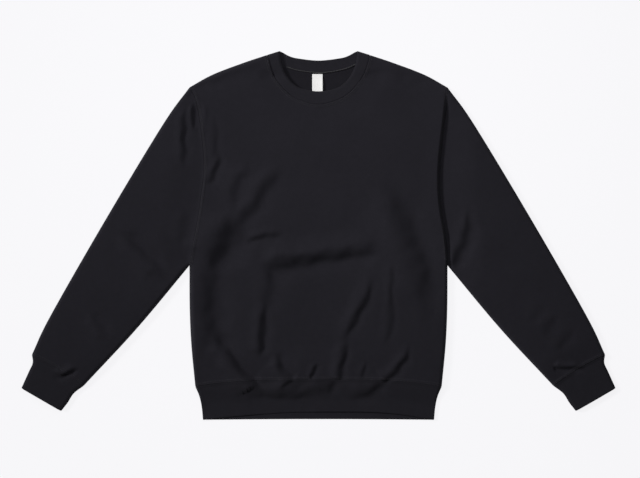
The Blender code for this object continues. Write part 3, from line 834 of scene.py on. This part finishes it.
def bodyPlan(neckSeam, hemSeam, counts):
    gap = cloth["fleeceHalf"] * cloth["seamSetBack"]
    neck = setBack(neckSeam, gap, hemSeam)
    hem = setBack(hemSeam, gap, neckSeam)
    shoulder = trimmed(shoulderLine, gap, gap)
    top = np.vstack([flipped(shoulder)[::-1], neck, shoulder])
    sides = {}
    for side, seam in armhole.items():
        other = armhole["right" if side == "left" else "left"]
        lower = trimmed(bodySide, 0, gap)
        lower = lower if side == "left" else flipped(lower)
        sides[side] = (setBack(seam, gap, other, body["underarmEase"]), lower)
    corner = lengths(shoulder)[-1] / lengths(top)[-1]
    dense, reach = body["edgeDensity"], body["topReach"]
    out = shares(counts["shoulder"], dense, 0, reach / corner) * corner
    middle = mix(corner, 1 - corner, shares(counts["neck"]))
    u = np.concatenate([out, middle[1:], 1 - out[-2::-1]])
    armLength = lengths(sides["left"][0])[-1]
    underarmShare = armLength / (armLength + lengths(sides["left"][1])[-1])
    upper = shares(counts["armhole"], dense, 0, reach) * underarmShare
    lower = mix(underarmShare, 1, shares(counts["side"], 0, dense, body["hemReach"]))
    v = np.concatenate([upper, lower[1:]])

    def twoPart(side):  # armhole and side, so that the underarm falls on a row
        seam, below = sides[side]
        a = along(seam, upper / underarmShare)
        b = along(below, (lower[1:] - underarmShare) / (1 - underarmShare))
        return np.vstack([a, b])

    topRow = np.vstack([
        along(flipped(shoulder)[::-1], out / corner),
        along(neck, (middle[1:-1] - corner) / (1 - 2 * corner)),
        along(shoulder, 1 - out[::-1] / corner),
    ])
    return filled(topRow, along(hem, u), twoPart("right"), twoPart("left"), u, v)


def bodyPanel(name, face, neckSeam, hemSeam, shape, looks):
    counts = body[face]
    up = 1 if face == "front" else -1
    half = cloth["fleeceHalf"]
    plan = bodyPlan(neckSeam, hemSeam, counts)
    points = heights(plan, shape)
    columns = points.shape[1]
    normal, away = rimmed(points, facing(points, False, columns // 2, up), False)
    shoulder = counts["shoulder"]
    below = slice(counts["armhole"], None)
    tops = (slice(0, shoulder + 1), slice(columns - 1 - shoulder, columns))
    for edge in ((0, tops[0]), (0, tops[1]), (below, 0), (below, -1)):
        run = unit(np.gradient(plan[edge], axis=0))
        out = np.column_stack([run[:, 1], -run[:, 0], 0 * run[:, 0]])
        sign = np.sign(np.sum(out[:, :2] * (plan[edge] - body["middle"]), axis=1, keepdims=True))
        normal[edge] = out * sign
        away[edge] = (0, 0, -up)
        points[edge][:, 2] = lie["sideHeight"] + up * half * cloth["seamSetBack"]
    return sewnPiece(name, points, normal, away, half, half, plan, False, looks)


frontPanel = bodyPanel("frontPanel", "front", frontNeck, frontHem, bodyFront, (faceLook, insideLook))
backPanel = bodyPanel("backPanel", "back", backNeck, backHem, bodyBack, (faceLook, insideLook))


sleeve = dict(
    frontColumns=96, backColumns=50, rows=150,
    cuffRibs=112, cuffSamples=6, cuffRows=16, cuffDepth=65 * mm,
    # closer together at the start and the end: how much at each, and over which share of the way
    rowShares=(2, 2, 0.02),
    columnShares=(3, 3, 0.04),
    cuffShares=(1, 1, 0.1),
)


def sleeveAndCuff(side):
    turned = (lambda curve: curve) if side == "left" else flipped
    seam, end = turned(cuffSeam), turned(cuffEnd)
    outer, inner = turned(sleeveOuter), turned(sleeveInner)
    half = cloth["fleeceHalf"]
    v = shares(sleeve["rows"], *sleeve["rowShares"])
    grids = []
    for count in (sleeve["frontColumns"], sleeve["backColumns"]):
        u = shares(count, *sleeve["columnShares"])
        grids.append(bandPlan(armhole[side], seam, outer, inner, u, v, half, False))
    start = (armhole[side][0] + armhole[side][-1]) / 2
    run = unit((seam[0] + seam[-1]) / 2 - start)
    around = np.concatenate([grids[0], 2 * start - grids[1][:, -2::-1]], axis=1) - start
    uv = np.stack([around @ np.array((-run[1], run[0])), np.abs(around @ run)], axis=-1)
    limb = laidTube(f"{side}Sleeve", *grids, sleeveFront, sleeveBack, half, 0, uv, (faceLook, insideLook))
    half, ribs = cloth["ribHalf"], sleeve["cuffRibs"]
    columns = ribs * sleeve["cuffSamples"] // 2
    v = shares(sleeve["cuffRows"], *sleeve["cuffShares"])
    plan = bandPlan(seam, end, turned(cuffOuter), turned(cuffInner), shares(columns), v, half, True)
    uv = ribUV(ribs, columns, v, sleeve["cuffDepth"])
    cuff = laidTube(f"{side}Cuff", plan, plan, cuffFront, backHeight, half, ribs, uv, (ribLook, ribLook))
    return limb, cuff


leftSleeve, leftCuff = sleeveAndCuff("left")
rightSleeve, rightCuff = sleeveAndCuff("right")


bands = dict(
    collar=dict(ribs=230, samples=6, rows=12, depth=lie["collarDepth"]),
    hem=dict(ribs=456, samples=4, rows=19, depth=65 * mm),
    rowShares=(1, 1, 0.08),
)


def ribBand(name, edges, side, sizes, shapes):
    half = cloth["ribHalf"]
    columns = sizes["ribs"] * sizes["samples"] // 2
    u, v = shares(columns), shares(sizes["rows"], *bands["rowShares"])
    grids = [bandPlan(first, last, flipped(side), side, u, v, half, True) for first, last in edges]
    uv = ribUV(sizes["ribs"], columns, v, sizes["depth"])
    return laidTube(name, *grids, *shapes, half, sizes["ribs"], uv, (ribLook, ribLook))


collarEdges = ((frontNeck, frontCollarEdge), (backNeck, backCollarEdge))
collar = ribBand("collar", collarEdges, neckSide, bands["collar"], (collarFront, backHeight))
hemEdges = ((frontHem, frontHemEdge), (backHem, backHemEdge))
hemBand = ribBand("hemBand", hemEdges, hemSide, bands["hem"], (hemFront, backHeight))


label = dict(
    left=-11.7 * mm,
    right=7.6 * mm,
    top=306.6 * mm,
    bottom=273 * mm,
    half=0.22 * mm,
    clear=0.8 * mm,  # between the label and the inside of the back
    lift=1.1 * mm,
    rightLift=2.6 * mm,
    curlLength=20 * mm,  # its right edge has its full lift this far below the seam
    rows=24, turnRows=9, columns=13,
)


def neckLabel():
    # a strip folded in a loop: down from the seam, round at the bottom and up again
    surface = 2 * cloth["fleeceHalf"] + label["clear"]
    rows, radius = label["rows"], label["lift"] / 2
    turn = np.linspace(-math.pi / 2, math.pi / 2, label["turnRows"])[1:-1]
    up = np.linspace(label["bottom"] + radius, label["top"], rows)
    y = np.concatenate([up[::-1], label["bottom"] + radius - radius * np.cos(turn), up])
    z = np.concatenate([np.zeros(rows), radius + radius * np.sin(turn), np.full(rows, label["lift"])])
    x = np.linspace(label["left"], label["right"], label["columns"])
    curl = eased((label["top"] - y) / label["curlLength"])
    lifted = ((x - x[0]) / (x[-1] - x[0]))[None, :] ** 2 * curl[:, None]
    points = np.empty((len(y), len(x), 3))
    points[..., 0] = x[None, :]
    points[..., 1] = y[:, None]
    points[..., 2] = surface + z[:, None] + label["rightLift"] * lifted
    normal, away = rimmed(points, sheetNormals(points, False), False)
    uv = np.stack(np.broadcast_arrays(x[None, :], lengths(np.column_stack([y, z]))[:, None]), axis=-1)
    half = label["half"]
    return sewnPiece("neckLabel", points, normal, away, half, half, uv, False, (labelLook, labelLook))


overlock = dict(
    # the path and the half width are in millimetres
    path=((-60, 320.2), (-36, 313.6), (0, 309.6), (23, 311.2), (41, 314.6), (57, 319), (72, 326.4)),
    halfWidth=1.3,
    height=4.4 * mm,
    crown=1.1 * mm,
    bend=1.3,
    wave=0.3 * mm,
    waveEnd=150,
    half=0.7 * mm,
    columns=90, rows=7,
)


def neckAllowance():
    # the overlocked edges of collar and back, pressed together along the seam
    columns, wide, half = overlock["columns"], overlock["halfWidth"], overlock["half"]
    path = along(smooth(overlock["path"], 12) * mm, np.linspace(0, 1, columns))
    run = unit(np.gradient(path, axis=0))
    side = np.column_stack([-run[:, 1], run[:, 0]])
    spread = np.linspace(-wide, wide, overlock["rows"]) * mm
    plan = path[None] + side[None] * spread[:, None, None]
    wave = overlock["wave"] * np.sin(np.linspace(0, overlock["waveEnd"], columns))
    crown = overlock["crown"] * np.cos(spread / (wide * mm) * overlock["bend"])
    z = overlock["height"] + crown[:, None] + wave[None]
    points = np.concatenate([plan, z[..., None]], axis=2)
    normal, away = rimmed(points, facing(points, False, columns // 2), False)
    uv = np.stack(np.broadcast_arrays(lengths(path)[None, :], spread[:, None]), axis=-1)
    looks = (overlockLook, overlockLook)
    return sewnPiece("neckSeamAllowance", points, normal, away, half, half, uv, False, looks)


tape = neckLabel()
allowance = neckAllowance()


stitch = dict(
    pitch=3.2 * mm,
    length=2.6 * mm,
    width=0.55 * mm,
    height=0.4 * mm,
    rows=(1.9 * mm, 5.4 * mm),
    slopeStep=0.2 * mm,
    raised=0.25,  # the share of its height that its middle lies above the cloth
)


def stitchPlaces(seam, towards, shape, up):
    places = []
    for offset in stitch["rows"]:
        row = setBack(seam, offset, towards)
        total = lengths(row)[-1]
        count = round(total / stitch["pitch"])
        middle = along(row, (np.arange(count) + 0.5) / count)
        step = stitch["slopeStep"]
        z = shape(middle)
        east = (shape(middle + (step, 0)) - z) / step
        north = (shape(middle + (0, step)) - z) / step
        normal = up * unit(np.column_stack([-east, -north, np.ones(count)]))
        run = along(row, np.minimum(1, (np.arange(count) + 0.6) / count)) - middle
        run = unit(np.column_stack([run, run[:, 0] * east + run[:, 1] * north]))
        centre = np.column_stack([middle, z]) + normal * stitch["height"] * stitch["raised"]
        places += list(zip(centre, run, np.cross(normal, run), normal))
    return places


def oneStitch():
    made = bmesh.new()
    bmesh.ops.create_uvsphere(made, u_segments=6, v_segments=4, radius=1)
    return meshFrom(made, "stitch")


def topstitch(name, places):
    made = bmesh.new()
    shape = oneStitch()
    for centre, run, side, normal in places:
        axes = [run * stitch["length"], side * stitch["width"], normal * stitch["height"]]
        axes = np.column_stack(axes) / 2
        placed = shape.copy()
        placed.transform(Matrix([[*axes[i], centre[i]] for i in range(3)] + [[0, 0, 0, 1]]))
        made.from_mesh(placed)
        bpy.data.meshes.remove(placed)
    bmesh.ops.recalc_face_normals(made, faces=made.faces[:])
    mesh = meshFrom(made, name)
    bpy.data.meshes.remove(shape)
    mesh.shade_smooth()
    mesh.materials.append(threadLook)
    piece = linked(name, mesh)
    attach(piece, "root")
    print(name, len(places), "stitches")
    return piece


neckStitches = topstitch("neckTopstitch", stitchPlaces(frontNeck, frontHem, bodyFront, 1)
                         + stitchPlaces(backNeck, backHem, bodyBack, -1))
hemStitches = topstitch("hemTopstitch", stitchPlaces(frontHem, frontNeck, bodyFront, 1)
                        + stitchPlaces(backHem, backNeck, bodyBack, -1))
for side in ("left", "right"):
    seam, other = armhole[side], armhole["right" if side == "left" else "left"]
    places = stitchPlaces(seam, other, bodyFront, 1) + stitchPlaces(seam, other, bodyBack, -1)
    topstitch(f"{side}ArmholeTopstitch", places)
    cuff = cuffSeam if side == "left" else flipped(cuffSeam)
    places = stitchPlaces(cuff, seam, sleeveFront, 1) + stitchPlaces(cuff, seam, sleeveBack, -1)
    topstitch(f"{side}CuffTopstitch", places)


floorName = "floor"
standsFor = dict(
    brushed_fleece=dict(front_panel=frontPanel, back_panel=backPanel, left_sleeve=leftSleeve,
                        right_sleeve=rightSleeve),
    rib_knit=dict(collar=collar, left_cuff=leftCuff, right_cuff=rightCuff, hem_band=hemBand),
    woven_tape=dict(neck_label=tape),
)
for slotName, pieces in standsFor.items():
    for node, piece in pieces.items():
        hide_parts(node)

print("pieces placed")


studio = dict(
    floorColour="#4a4a4c",
    floorGlow=0.88,
    floorSize=6,
    floorDrop=0.5 * mm,
    world=0.15,
    lamps=dict(
        key=dict(power=3350, azimuth=160, elevation=35, distance=20.0, size=4.0),
        fill=dict(power=4.75, azimuth=90, elevation=68, distance=0.9, size=0.6),
    ),
    cameraHeight=3.5,
    frameWidth=1.216,
    sensorWidth=36,
    centre=(2.85 * mm, -6.65 * mm),
)


def makeFloor():
    # white acrylic, lit mostly from below as a light table is, so that shadows on it stay faint
    made = bmesh.new()
    bmesh.ops.create_grid(made, x_segments=1, y_segments=1, size=studio["floorSize"])
    bmesh.ops.translate(made, verts=made.verts, vec=(0, 0, -studio["floorDrop"]))
    mesh = meshFrom(made, floorName)
    look = newLook("whiteAcrylicLightTable")
    settings = {"Base Color": colour(studio["floorColour"]), "Roughness": 0.8, "Specular IOR Level": 0.2,
                "Emission Color": (0.985, 0.98, 1, 1), "Emission Strength": studio["floorGlow"]}
    shader = addNode(look, "ShaderNodeBsdfPrincipled", settings)
    look.node_tree.links.new(shader.outputs[0], look.node_tree.nodes["Material Output"].inputs["Surface"])
    mesh.materials.append(look)
    floor = linked(floorName, mesh)


def makeLight():
    world = bpy.data.worlds.new("studio")
    bpy.context.scene.world = world
    world.use_nodes = True
    world.node_tree.nodes["Background"].inputs["Color"].default_value = (0.98, 0.985, 1, 1)
    world.node_tree.nodes["Background"].inputs["Strength"].default_value = studio["world"]
    for name, lamp in studio["lamps"].items():
        light = bpy.data.lights.new(name, "AREA")
        light.energy = lamp["power"]
        light.size = lamp["size"]
        holder = linked(name, light)
        a, e = math.radians(lamp["azimuth"]), math.radians(lamp["elevation"])
        towards = Vector((math.cos(a) * math.cos(e), math.sin(a) * math.cos(e), math.sin(e)))
        holder.location = towards * lamp["distance"]
        holder.rotation_euler = towards.to_track_quat("Z", "Y").to_euler()


def makeCamera():
    lens = bpy.data.cameras.new("overhead")
    camera = linked("overhead", lens)
    camera.location = (*studio["centre"], studio["cameraHeight"])
    lens.sensor_width = studio["sensorWidth"]
    lens.lens = studio["sensorWidth"] * (studio["cameraHeight"] - lie["sideHeight"]) / studio["frameWidth"]
    lens.clip_end = 30
    bpy.context.scene.camera = camera


makeFloor()
makeLight()
makeCamera()
bpy.context.scene.view_settings.view_transform = "Standard"
print("light and camera placed")
